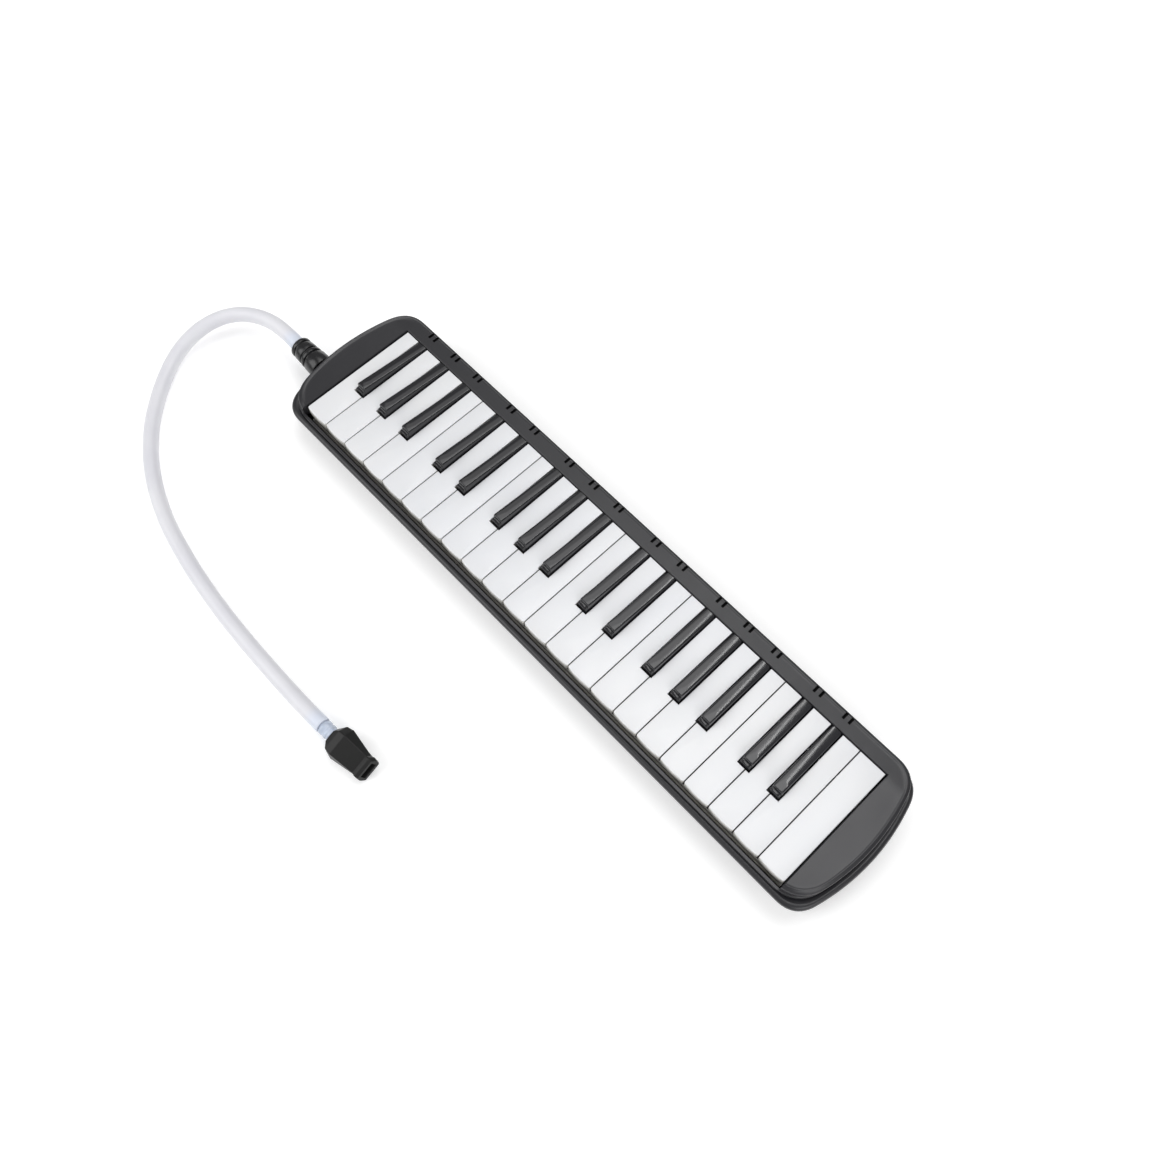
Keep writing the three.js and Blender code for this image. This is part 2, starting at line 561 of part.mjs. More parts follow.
place("drain_button", drainButton(), shell);
place("drain_seal", drainSeal(), rubber);
place("drain_spring", drainSpring(), steel);

export default group;
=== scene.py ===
"""A 37-key melodica with its blow hose and mouthpiece: the looks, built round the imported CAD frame."""
import math

import bmesh
import bpy
from mathutils import Matrix, Vector


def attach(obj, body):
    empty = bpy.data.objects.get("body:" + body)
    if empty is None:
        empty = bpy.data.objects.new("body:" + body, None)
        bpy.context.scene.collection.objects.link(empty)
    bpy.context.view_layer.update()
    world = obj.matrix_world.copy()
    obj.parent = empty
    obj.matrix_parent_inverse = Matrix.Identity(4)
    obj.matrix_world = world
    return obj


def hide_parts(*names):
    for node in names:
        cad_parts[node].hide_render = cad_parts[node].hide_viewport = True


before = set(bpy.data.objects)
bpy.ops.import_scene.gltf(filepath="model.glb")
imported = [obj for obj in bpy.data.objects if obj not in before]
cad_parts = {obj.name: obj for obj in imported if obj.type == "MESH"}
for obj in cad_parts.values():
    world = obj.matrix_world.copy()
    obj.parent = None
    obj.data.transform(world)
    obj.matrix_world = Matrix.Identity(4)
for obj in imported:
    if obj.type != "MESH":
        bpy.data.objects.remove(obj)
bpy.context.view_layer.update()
MM = 0.001

# ---- Driving sizes, in millimetres ----
# They are the CAD source's, apart from the fine edges it leaves out and a few that differ a little: the gap
# between white keys, the slots' depth, a black key's top and the hose's radius.

# An end curves back from its middle by this much times the square of the distance to the middle line.
BOW = 0.0039
# The flange falls from its highest line to the seam, just below the cover's foot.
CASE = {"half_length": 211.0, "half_depth": 48.4, "height": 25.5, "seam": 24.7, "wall": 2.4, "flange": 2.6}
CASE_MOUTH = {"half_length": 204.5, "front": -43.9, "rear": 44.2, "corner": 10.0}
COVER = {"half_length": 206.3, "front": -45.4, "rear": 47.3, "corner": 12.0, "foot": 25.8, "top": 34.7,
         "skin": 2.4}
# The plate's edge, from outside in: a tight shoulder, a low slope, a fine bead and a shallow dish.
EDGE = {"slope": 2.0, "shoulder": 0.5, "shoulder_top": 0.75, "shoulder_foot": 1.65, "dish": 0.35}
# Distance inside the slope's end and drop below the top, over the bead and down into the dish.
BEAD = ((-0.25, 0.24), (-0.12, 0.08), (0.0, 0.0), (0.25, 0.03), (0.6, 0.2), (0.9, 0.32), (1.25, 0.35),
        (1.9, 0.35))
# The cover's rear slopes down from here: place, fall for each millimetre beyond it, the length over which
# the slope begins, the pieces that length is cut into, and how far below the top the fall reaches.
CROWN = {"start": 31.0, "fall": 0.1, "ease": 5.0, "cuts": (0.0, 1.5, 3.0, 4.5), "reach": 2.01}
PANEL = {"front": -44.5, "corner": 17.0}
WINDOW = {"half_length": 187.6, "rear": 36.0, "front": -43.8, "skirt": 1.8, "chamfer": 0.35}
RAIL = {"underside": 31.7, "front_top": 29.2, "front_corner": 16.0}
# Inset and drop below the front rail's top, round its edge.
RAIL_EDGE = ((0.1, 0.5), (0.16, 0.28), (0.3, 0.1), (0.5, 0.02))
# The slots stop short of the rear edge, and their insides are painted near-black as painted shade for the
# dark of a deep slot.
NOTCH = {"width": 1.6, "spacing": 4.0, "front": 42.0, "rear": 46.3, "depth": 2.8, "edge": 0.3}
# Levels below, in front of and above the cover that a cutting tool reaches.
REACH = {"below": 20.0, "front": -60.0, "above": 40.0}
WHITE = {"count": 22, "pitch": 17.0, "gap": 0.65, "top": 33.5, "bottom": 27.5, "front": -41.0, "bow": 0.55}
WHITE_CORNER = 0.9
# How far the sides and the front are drawn in, and the height above the bottom or the depth below the top.
WHITE_FOOT = ((0.4, 0.4, 0.0), (0.1, 0.1, 0.0), (0.0, 0.0, 0.25))
WHITE_CREST = ((0.0, 0.0, 1.5), (0.0, 0.03, 1.3), (0.0, 0.22, 1.15), (0.0, 0.26, 0.95), (0.0, 0.14, 0.8),
               (0.0, 0.12, 0.35), (0.04, 0.17, 0.15), (0.12, 0.26, 0.04), (0.24, 0.38, 0.0))
BLACK = {"half_width": 3.6, "top_half_width": 3.1, "front": -13.0, "clearance": 0.5, "rear_top": 34.0,
         "front_top": 38.95, "crest": 0.7}
BLACK_STEP = {"depth": 1.9, "top": 36.1}
# How far each line of a black key's shoulder is drawn in, and its depth below the top.
BLACK_SHOULDER = ((-0.12, 1.5), (0.0, 0.75), (0.16, 0.42), (0.45, 0.2), (0.9, 0.12), (1.8, 0.04))
# Place behind the face, narrowing on each side and height, over the nose (from the front top), down to the
# ledge (from the ledge), and over the front edge (place behind the front, height from the ledge).
BLACK_NOSE = ((0.3, 0.06, -0.06), (0.1, 0.12, -0.2), (0.0, 0.16, -0.45))
BLACK_FACE = ((-0.1, 0.12, 0.7), (-0.2, 0.06, 0.3), (-0.5, 0.0, 0.06))
BLACK_FRONT = ((0.5, 0.0, 0.0), (0.2, 0.06, -0.1), (0.04, 0.14, -0.32), (0.0, 0.18, -0.7))
# From a black key's front to the notch in its white neighbours.
NOTCH_CLEARANCE = 0.9
KEY_REAR = 35.5
KEY_COUNT = 37
# How far each black key stands from the line between its white neighbours, by semitones from the first key.
BLACK_SHIFT = {1: -3.0, 3: 0.0, 5: 3.0, 8: -1.5, 10: 1.5}
PIVOT = {"y": 20.0, "z": 24.0, "bore": 1.8}
LUG = {"front": 15.0, "bottom": 21.0}
TAIL = {"half_width": 3.2, "bottom": 22.0, "top": 26.6, "rear": 40.5}
PAD = {"front": 34.6, "bottom": 20.0, "inset": 0.3}
BLOW = {"y": -14.0, "z": 19.0, "hole_radius": 6.5, "seat": -203.3}
DRAIN = {"y": 28.0, "z": 13.0, "hole_radius": 4.4}
HOSE = {"radius": 4.66, "bore": 3.3, "rim": 0.25, "sides": 40}
SCREW_PLACES = [(-193, -29), (193, -29), (193, 12), (-93, -30), (93, -30)]

# The hose's middle line, from the plug round to the mouthpiece, in metres.
HOSE_ROUTE = [
    (-0.2350, -0.0140, 0.0190), (-0.2460, -0.0140, 0.0190), (-0.2580, -0.0149, 0.0187),
    (-0.2700, -0.0186, 0.0180), (-0.2805, -0.0255, 0.0168), (-0.2880, -0.0352, 0.0150),
    (-0.2920, -0.0468, 0.0127), (-0.2926, -0.0590, 0.0102), (-0.2898, -0.0715, 0.0078),
    (-0.2836, -0.0840, 0.0060), (-0.2739, -0.0972, 0.0051), (-0.2605, -0.1112, 0.0048),
    (-0.2440, -0.1236, 0.0048), (-0.2245, -0.1340, 0.0048), (-0.2025, -0.1420, 0.0048),
    (-0.1805, -0.1470, 0.0048), (-0.1560, -0.1508, 0.0048), (-0.1280, -0.1533, 0.0048),
    (-0.1000, -0.1543, 0.0049), (-0.0720, -0.1544, 0.0059), (-0.0520, -0.1541, 0.0081),
    (-0.0383, -0.1534, 0.0090),
]
MOUTH = {"back": (-30.0, -152.95, 9.1), "yaw": 3.0, "roll": 22.0, "length": 27.8}
# The tip leans back at the top, so its slot shows from above.
MOUTH_TIP = {"slant": 0.36, "slant_start": 21.0, "slant_run": 2.0, "slot_half_width": 4.7,
             "slot_half_height": 1.8, "slot_depth": 9.0}


# ---- Mesh helpers: everything below is drawn in millimetres and stored in metres ----
SHARP_ANGLE = 32.0
CORNER_STEPS = 12


def mesh_object(name, bm, sharp=SHARP_ANGLE):
    """A smooth-shaded object from a bmesh in millimetres, with its edges sharp above an angle in degrees."""
    bmesh.ops.recalc_face_normals(bm, faces=bm.faces)
    bm.transform(Matrix.Scale(MM, 4))
    mesh = bpy.data.meshes.new(name)
    bm.to_mesh(mesh)
    bm.free()
    mesh.polygons.foreach_set("use_smooth", [True] * len(mesh.polygons))
    mesh.set_sharp_from_angle(angle=math.radians(sharp))
    obj = bpy.data.objects.new(name, mesh)
    bpy.context.scene.collection.objects.link(obj)
    return obj


def add_rings(bm, rings, closed=False):
    """Joins rings of points, all the same length, into a skin. A closed skin's last ring meets its first;
    any other has a face over each end."""
    made = [[bm.verts.new(p) for p in ring] for ring in rings]
    count = len(made[0])
    pairs = list(zip(made[:-1], made[1:]))
    if closed:
        pairs.append((made[-1], made[0]))
    for low, high in pairs:
        for i in range(count):
            j = (i + 1) % count
            bm.faces.new((low[i], low[j], high[j], high[i]))
    if not closed:
        bm.faces.new(list(reversed(made[0])))
        bm.faces.new(made[-1])


def arc_stations(inset0, z0, inset1, z1, steps):
    """A quarter ellipse between two (inset, z) stations, which leaves the first one along z."""
    made = []
    for i in range(steps + 1):
        a = math.pi / 2 * i / steps
        made.append((inset0 + (inset1 - inset0) * (1 - math.cos(a)), z0 + (z1 - z0) * math.sin(a)))
    return made


def quadratic(a, control, b, steps):
    """Points along a quadratic curve, without its first one."""
    points = []
    for i in range(1, steps + 1):
        t = i / steps
        points.append(tuple((1 - t) ** 2 * p + 2 * t * (1 - t) * q + t * t * r
                            for p, q, r in zip(a, control, b)))
    return points


def body_plan(half_length, front, rear, front_corner, rear_corner):
    """The body's outline: straight long sides, bowed ends and round corners, anticlockwise."""
    front_end, rear_end = front + front_corner, rear - rear_corner
    front_x, rear_x = half_length - BOW * front_end ** 2, half_length - BOW * rear_end ** 2
    front_slope, rear_slope = -2 * BOW * front_end, -2 * BOW * rear_end
    bow = (front_x + front_slope * (rear_end - front_end) / 2, (front_end + rear_end) / 2)
    front_bend, rear_bend = front_x - front_slope * front_corner, rear_x + rear_slope * rear_corner
    right = [(front_bend - front_corner, front)]
    right += quadratic(right[-1], (front_bend, front), (front_x, front_end), CORNER_STEPS)
    right += quadratic(right[-1], bow, (rear_x, rear_end), CORNER_STEPS * 2)
    right += quadratic(right[-1], (rear_bend, rear), (rear_bend - rear_corner, rear), CORNER_STEPS)
    return right + [(-x, y) for x, y in reversed(right)]


def add_block(bm, x0, x1, y0, y1, z0, z1, edge=0.0, segments=2):
    """A block with its edges rounded by the given radius."""
    part = bmesh.new()
    bmesh.ops.create_cube(part, size=1.0)
    for v in part.verts:
        v.co = Vector(((x0 + x1) / 2 + v.co.x * (x1 - x0), (y0 + y1) / 2 + v.co.y * (y1 - y0),
                       (z0 + z1) / 2 + v.co.z * (z1 - z0)))
    if edge:
        bmesh.ops.bevel(part, geom=part.edges, offset=edge, segments=segments, profile=0.5, affect="EDGES")
    merge_into(bm, part)


def merge_into(bm, part):
    """Adds one bmesh's skin to another and frees it."""
    mesh = bpy.data.meshes.new("part")
    part.to_mesh(mesh)
    part.free()
    bm.from_mesh(mesh)
    bpy.data.meshes.remove(mesh)


def add_turned(bm, profile, matrix, sides=48):
    """A turned piece: (distance, radius) stations along local +X, closed on the axis at both ends."""
    rings = []
    for along, radius in profile:
        rings.append([matrix @ Vector((along, radius * math.cos(2 * math.pi * k / sides),
                                       radius * math.sin(2 * math.pi * k / sides))) for k in range(sides)])
    add_rings(bm, rings)


def cut(obj, tool):
    """Cuts a tool's shape out of an object and removes the tool."""
    modifier = obj.modifiers.new("cut", "BOOLEAN")
    modifier.operation = "DIFFERENCE"
    modifier.solver = "EXACT"
    modifier.use_self = True
    modifier.object = tool
    bpy.context.view_layer.update()
    evaluated = obj.evaluated_get(bpy.context.evaluated_depsgraph_get())
    mesh = bpy.data.meshes.new_from_object(evaluated)
    obj.modifiers.clear()
    old = obj.data
    obj.data = mesh
    bpy.data.meshes.remove(old)
    bpy.data.objects.remove(tool)
    mesh.polygons.foreach_set("use_smooth", [True] * len(mesh.polygons))
    mesh.set_sharp_from_angle(angle=math.radians(SHARP_ANGLE))
    return obj


def finish_piece(obj, material, body, slot, *nodes):
    """Gives a piece its material and its body, and hides the CAD nodes it stands for. The slot is not used.
    """
    obj.data.materials.clear()
    obj.data.materials.append(material)
    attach(obj, body)
    if nodes:
        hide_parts(*nodes)
    return obj


# ---- Materials ----
class Nodes:
    """A small helper for building one material's node tree."""

    def __init__(self, name):
        self.material = bpy.data.materials.new(name)
        self.material.use_nodes = True
        self.tree = self.material.node_tree
        self.shader = self.tree.nodes["Principled BSDF"]
        self.place = self.add("ShaderNodeTexCoord").outputs["Object"]

    def add(self, kind, **values):
        node = self.tree.nodes.new(kind)
        for key, value in values.items():
            setattr(node, key, value)
        return node

    def link(self, output, socket):
        self.tree.links.new(output, socket)

    def set(self, **values):
        for key, value in values.items():
            self.shader.inputs[key.replace("_", " ")].default_value = value

    def noise(self, scale, detail=3.0, stretch=None, distortion=0.0):
        """Noise over the object's own place, in cycles per metre; stretch scales each axis."""
        source = self.place
        if stretch:
            mapping = self.add("ShaderNodeMapping")
            mapping.inputs["Scale"].default_value = stretch
            self.link(source, mapping.inputs["Vector"])
            source = mapping.outputs["Vector"]
        node = self.add("ShaderNodeTexNoise")
        node.inputs["Scale"].default_value = scale
        node.inputs["Detail"].default_value = detail
        node.inputs["Distortion"].default_value = distortion
        self.link(source, node.inputs["Vector"])
        return node.outputs["Fac"]

    def ranged(self, value, low, high, to_low, to_high):
        node = self.add("ShaderNodeMapRange")
        for key, number in (("From Min", low), ("From Max", high), ("To Min", to_low), ("To Max", to_high)):
            node.inputs[key].default_value = number
        self.link(value, node.inputs["Value"])
        return node.outputs["Result"]

    def below(self, low, high):
        """1 under a height in millimetres, falling to 0 above a higher one."""
        split = self.add("ShaderNodeSeparateXYZ")
        self.link(self.place, split.inputs["Vector"])
        return self.ranged(split.outputs["Z"], low * MM, high * MM, 1.0, 0.0)

    def plus(self, a, b):
        node = self.add("ShaderNodeMath", operation="ADD")
        self.link(a, node.inputs[0])
        self.link(b, node.inputs[1])
        return node.outputs[0]

    def mixed(self, factor, a, b):
        """A colour between a and b by a varying factor; each is a colour or another output."""
        node = self.add("ShaderNodeMix", data_type="RGBA")
        self.link(factor, node.inputs["Factor"])
        for value, socket in ((a, node.inputs[6]), (b, node.inputs[7])):
            if isinstance(value, tuple):
                socket.default_value = (*value, 1.0)
            else:
                self.link(value, socket)
        return node.outputs[2]

    def bump(self, height, distance, strength=1.0, after=None):
        node = self.add("ShaderNodeBump")
        node.inputs["Strength"].default_value = strength
        node.inputs["Distance"].default_value = distance
        self.link(height, node.inputs["Height"])
        if after is not None:
            self.link(after, node.inputs["Normal"])
        return node.outputs["Normal"]


def moulded_plastic(name, tone, pale, rough, grain=0.000012, swirl=0.03, scratches=0.05, specular=0.5):
    """Moulded plastic: slow changes of tone, a fine skin, faint rub marks and specks of dust."""
    n = Nodes(name)
    cloud = n.noise(9.0, 4.0)
    dust = n.ranged(n.noise(1400.0, 1.0), 0.76, 0.82, 0.0, 0.35)
    colour = n.mixed(n.ranged(cloud, 0.35, 0.7, 0.0, 1.0), tone, pale)
    dusty = tuple(min(1.0, c + 0.05) for c in pale)
    n.link(n.mixed(dust, colour, dusty), n.shader.inputs["Base Color"])
    marks = n.ranged(n.noise(55.0, 2.0, stretch=(5.0, 0.3, 1.0), distortion=0.3), 0.6, 0.75, 0.0, scratches)
    patches = n.ranged(n.noise(26.0, 5.0), 0.3, 0.7, rough - swirl, rough + swirl)
    n.link(n.plus(patches, marks), n.shader.inputs["Roughness"])
    skin = n.bump(n.noise(2600.0, 2.0), grain)
    wave = n.bump(n.noise(34.0, 1.0), 0.00006, after=skin)
    n.link(wave, n.shader.inputs["Normal"])
    n.set(Specular_IOR_Level=specular)
    return n.material


def key_white():
    """Smooth white plastic, with a darker cream tone painted on the sides and front as painted shade."""
    n = Nodes("key_white")
    cloud = n.ranged(n.noise(14.0, 3.0), 0.3, 0.7, 0.0, 1.0)
    top_tone = n.mixed(cloud, (0.695, 0.705, 0.73), (0.735, 0.74, 0.75))
    # Below the top edge the colour turns to a darker cream: painted shade on the sides and front.
    n.link(n.mixed(n.below(WHITE["top"] - 1.5, WHITE["top"] - 0.7), top_tone, (0.57, 0.56, 0.52)),
           n.shader.inputs["Base Color"])
    n.link(n.ranged(n.noise(40.0, 4.0, stretch=(3.0, 0.8, 1.0)), 0.3, 0.7, 0.274, 0.288),
           n.shader.inputs["Roughness"])
    n.link(n.bump(n.noise(1800.0, 2.0), 0.000006), n.shader.inputs["Normal"])
    n.set(Subsurface_Weight=0.08, Subsurface_Scale=0.001, IOR=1.5)
    n.shader.inputs["Subsurface Radius"].default_value = (1.0, 0.9, 0.8)
    return n.material


def hose_vinyl():
    """Milky vinyl with faint clouding; the ends turn clearer and bluer over their nipples."""
    n = Nodes("hose_vinyl")
    cloud = n.ranged(n.noise(40.0, 3.0), 0.3, 0.7, 0.0, 1.0)
    milk = n.mixed(cloud, (0.655, 0.655, 0.70), (0.71, 0.71, 0.74))
    near_end = None
    for end in (HOSE_ROUTE[0], HOSE_ROUTE[-1]):
        distance = n.add("ShaderNodeVectorMath", operation="DISTANCE")
        distance.inputs[1].default_value = end
        n.link(n.place, distance.inputs[0])
        share = n.ranged(distance.outputs["Value"], 0.006, 0.012, 1.0, 0.0)
        near_end = share if near_end is None else n.plus(near_end, share)
    n.link(n.mixed(near_end, milk, (0.64, 0.68, 0.77)), n.shader.inputs["Base Color"])
    n.link(n.ranged(n.noise(300.0, 3.0), 0.3, 0.7, 0.3, 0.42), n.shader.inputs["Roughness"])
    n.link(n.bump(n.noise(900.0, 2.0), 0.000015), n.shader.inputs["Normal"])
    n.set(IOR=1.42, Sheen_Weight=0.15)
    return n.material


def clear_vinyl():
    """Clear, slightly blue vinyl with faint clouding."""
    n = Nodes("clear_vinyl")
    cloud = n.ranged(n.noise(120.0, 2.0), 0.3, 0.7, 0.0, 1.0)
    n.link(n.mixed(cloud, (0.58, 0.66, 0.80), (0.68, 0.74, 0.86)), n.shader.inputs["Base Color"])
    n.link(n.ranged(n.noise(500.0, 3.0), 0.3, 0.7, 0.1, 0.2), n.shader.inputs["Roughness"])
    n.link(n.bump(n.noise(900.0, 2.0), 0.00001), n.shader.inputs["Normal"])
    n.set(Transmission_Weight=0.3, IOR=1.46)
    return n.material


def brushed_metal(name, dark, light, rough):
    """Metal with fine drawn lines along X."""
    n = Nodes(name)
    streaks = n.noise(45.0, 3.0, stretch=(1.0, 40.0, 40.0))
    n.link(n.mixed(n.ranged(streaks, 0.3, 0.7, 0.0, 1.0), dark, light), n.shader.inputs["Base Color"])
    n.link(n.ranged(streaks, 0.3, 0.7, rough - 0.08, rough + 0.1), n.shader.inputs["Roughness"])
    n.link(n.bump(streaks, 0.00002), n.shader.inputs["Normal"])
    n.set(Metallic=1.0)
    return n.material


def felt_cloth(name, deep, bright):
    """Felt or soft leather, all short fibres."""
    n = Nodes(name)
    fibres = n.noise(1500.0, 5.0, distortion=1.5)
    n.link(n.mixed(n.ranged(fibres, 0.3, 0.7, 0.0, 1.0), deep, bright), n.shader.inputs["Base Color"])
    n.link(n.bump(fibres, 0.0003), n.shader.inputs["Normal"])
    n.set(Roughness=0.95, Sheen_Weight=0.4)
    return n.material


CASE_BLACK = moulded_plastic("case_black", (0.014, 0.014, 0.0165), (0.020, 0.0195, 0.023), 0.34)
KEY_BLACK = moulded_plastic("key_black", (0.014, 0.014, 0.016), (0.018, 0.018, 0.021), 0.09,
                          0.000003, 0.015, 0.02)
FITTING_BLACK = moulded_plastic("fitting_black", (0.008, 0.008, 0.009), (0.012, 0.012, 0.013), 0.25)
MOUTH_BLACK = moulded_plastic("mouthpiece_black", (0.008, 0.008, 0.008), (0.013, 0.013, 0.012), 0.40, 0.00002,
                             specular=0.28)
# Painted shade: a near-black, barely reflecting skin for the slots' insides, standing in for the dark of a
# deep slot.
NOTCH_SHADE = moulded_plastic("notch_shade", (0.002, 0.002, 0.002), (0.004, 0.004, 0.004), 0.7,
                             specular=0.05)
INNER_PALE = moulded_plastic("inner_pale", (0.56, 0.55, 0.51), (0.64, 0.63, 0.59), 0.5)
SEAL_BLACK = moulded_plastic("seal_black", (0.03, 0.03, 0.03), (0.045, 0.045, 0.045), 0.75, grain=0.00004)
KEY_WHITE = key_white()
HOSE_VINYL = hose_vinyl()
CLEAR_VINYL = clear_vinyl()
STEEL = brushed_metal("steel", (0.42, 0.43, 0.45), (0.62, 0.63, 0.65), 0.3)
BRASS = brushed_metal("reed_brass", (0.60, 0.44, 0.18), (0.78, 0.60, 0.30), 0.3)
REST_FELT = felt_cloth("rest_felt", (0.02, 0.018, 0.018), (0.05, 0.045, 0.045))
PAD_LEATHER = felt_cloth("pad_leather", (0.50, 0.42, 0.32), (0.68, 0.60, 0.48))


# ---- Camera, light and floor ----
CAMERA = {"eye": (0.1752, -0.1690, 0.5820), "target": (0.0001, -0.0021, 0.0335), "sensor": 36.0,
          "lens": 34.38}
WORLD_STRENGTH = 0.32
FLOOR_GLOW = 0.25
FLOOR_HALF_WIDTH = 4000
# A point on the softbox's far edge, its height in metres and its turn in degrees. A panel lies on the near
# side of this edge, but one no deeper than a strip lies just beyond it.
SOFTBOX = {"edge": (-0.15, 0.807), "height": 1.237, "turn": -26.3}
STRIP_DEPTH = 0.1
# Place along the edge, length, depth and radiance of each panel.
SOFTBOX_PANELS = ((0.45, 0.60, 0.75, 3.2), (-0.05, 0.40, 0.75, 2.1), (-0.45, 0.40, 0.75, 1.0),
                  (0.15, 1.15, 0.03, 14.0))
# Name, place in metres, size in metres and watts.
LAMPS = (
    ("fill_light", (-0.75, -1.1, 1.1), 1.3, 14.0),
    ("side_light", (1.3, -0.4, 0.9), 1.0, 8.0),
)


def area_light(name, place, size_x, size_y, watts):
    light = bpy.data.lights.new(name, "AREA")
    light.shape, light.size, light.size_y, light.energy = "RECTANGLE", size_x, size_y, watts
    lamp = bpy.data.objects.new(name, light)
    bpy.context.scene.collection.objects.link(lamp)
    lamp.location = place
    return lamp


def studio():
    """The camera, the lights and the pale floor."""
    scene = bpy.context.scene
    scene.view_settings.view_transform = "Standard"
    eye, target = Vector(CAMERA["eye"]), Vector(CAMERA["target"])
    data = bpy.data.cameras.new("camera")
    data.sensor_width, data.lens = CAMERA["sensor"], CAMERA["lens"]
    camera = bpy.data.objects.new("camera", data)
    scene.collection.objects.link(camera)
    camera.location = eye
    camera.rotation_euler = (target - eye).to_track_quat("-Z", "Y").to_euler()
    scene.camera = camera

    world = bpy.data.worlds.new("world")
    scene.world = world
    world.use_nodes = True
    background = world.node_tree.nodes["Background"]
    background.inputs["Color"].default_value = (1.0, 1.0, 1.0, 1.0)
    background.inputs["Strength"].default_value = WORLD_STRENGTH

    for name, place, size, watts in LAMPS:
        lamp = area_light(name, place, size, size, watts)
        lamp.rotation_euler = (-Vector(place)).to_track_quat("-Z", "Y").to_euler()
    turn = Matrix.Rotation(math.radians(SOFTBOX["turn"]), 2)
    for i, (along, length, depth, radiance) in enumerate(SOFTBOX_PANELS):
        inward = depth / 2 if depth > STRIP_DEPTH else -depth / 2
        x, y = Vector(SOFTBOX["edge"]) + turn @ Vector((along, -inward))
        lamp = area_light(f"softbox_{i + 1}", (x, y, SOFTBOX["height"]), length, depth,
                          radiance * math.pi * length * depth)
        lamp.rotation_euler = (0, 0, math.radians(SOFTBOX["turn"]))

    bm = bmesh.new()
    bmesh.ops.create_grid(bm, x_segments=1, y_segments=1, size=FLOOR_HALF_WIDTH)
    floor = mesh_object("floor", bm)
    paper = Nodes("floor_paper")
    paper.link(paper.mixed(paper.noise(3.0, 2.0), (0.90, 0.90, 0.90), (0.92, 0.92, 0.92)),
               paper.shader.inputs["Base Color"])
    paper.set(Roughness=0.9, Emission_Strength=FLOOR_GLOW)
    paper.shader.inputs["Emission Color"].default_value = (1.0, 1.0, 1.0, 1.0)
    floor.data.materials.append(paper.material)


# ---- Hose, its connector and mouthpiece ----
def smooth_route(points, per_span=10):
    """A smooth line through the route's points."""
    points = [Vector(p) for p in points]
    ends = [points[0] * 2 - points[1]] + points + [points[-1] * 2 - points[-2]]
    line = []
    for a, b, c, d in zip(ends, ends[1:], ends[2:], ends[3:]):
        for i in range(per_span):
            t = i / per_span
            line.append(0.5 * (2 * b + (c - a) * t + (2 * a - 5 * b + 4 * c - d) * t * t
                               + (3 * b - a - 3 * c + d) * t ** 3))
    return line + [points[-1]]


def tube_rings(line, radius, sides):
    """Rings round a line, each turned as little as it can be from the one before."""
    rings = []
    up = Vector((0, 0, 1))
    for i, here in enumerate(line):
        ahead = (line[min(i + 1, len(line) - 1)] - line[max(i - 1, 0)]).normalized()
        side = ahead.cross(up).normalized()
        up = side.cross(ahead)
        rings.append([here + radius * (math.cos(2 * math.pi * k / sides) * side
                                       + math.sin(2 * math.pi * k / sides) * up) for k in range(sides)])
    return rings


def hose(with_pieces):
    """The blow hose: a tube with an open bore and softened rims."""
    line = smooth_route(HOSE_ROUTE)
    in_mm = [p / MM for p in line]
    rim, sides = HOSE["rim"], HOSE["sides"]
    outer = tube_rings(in_mm, HOSE["radius"], sides)
    rims = tube_rings(in_mm, HOSE["radius"] - rim, sides)
    inner = list(reversed(tube_rings(in_mm, HOSE["bore"], sides)))
    inwards = [(in_mm[1] - in_mm[0]).normalized() * rim, (in_mm[-2] - in_mm[-1]).normalized() * rim]
    outer[0] = [p + inwards[0] for p in outer[0]]
    outer[-1] = [p + inwards[1] for p in outer[-1]]
    rings = [rims[0]] + outer + [rims[-1]] + inner
    bm = bmesh.new()
    add_rings(bm, rings, closed=True)
    piece = finish_piece(mesh_object("hose_tube", bm, 60), HOSE_VINYL, "hose_set", "hose_vinyl", "hose")
    return piece


def mouth_matrix():
    """The place of the mouthpiece's back end, with local +X along it."""
    return Matrix.Translation(MOUTH["back"]) @ Matrix.Rotation(math.radians(MOUTH["yaw"]), 4, "Z")


def hose_connector():
    """The clear stepped nipple between the hose and the mouthpiece, its rear end inside the hose."""
    profile = [(-20.0, 2.9), (-19.2, 3.2), (-8.2, 3.2), (-7.7, 3.5), (-7.6, 4.1), (-7.2, 4.35), (-5.3, 4.35),
               (-4.9, 4.1), (-3.9, 4.05), (-3.5, 4.4), (-2.3, 4.4), (-1.9, 4.1), (-0.5, 4.0), (-0.3, 3.7)]
    bm = bmesh.new()
    add_turned(bm, profile, mouth_matrix())
    return finish_piece(mesh_object("connector_nipple", bm), CLEAR_VINYL, "hose_set", "clear_vinyl",
                        "hose_connector")


def mouth_section(x, half_width, half_height, flat):
    """A six-sided section, flat above and below and pointed at its sides."""
    return [Vector((x, y, z)) for y, z in (
        (-half_width, 0), (-flat, -half_height), (flat, -half_height),
        (half_width, 0), (flat, half_height), (-flat, half_height))]


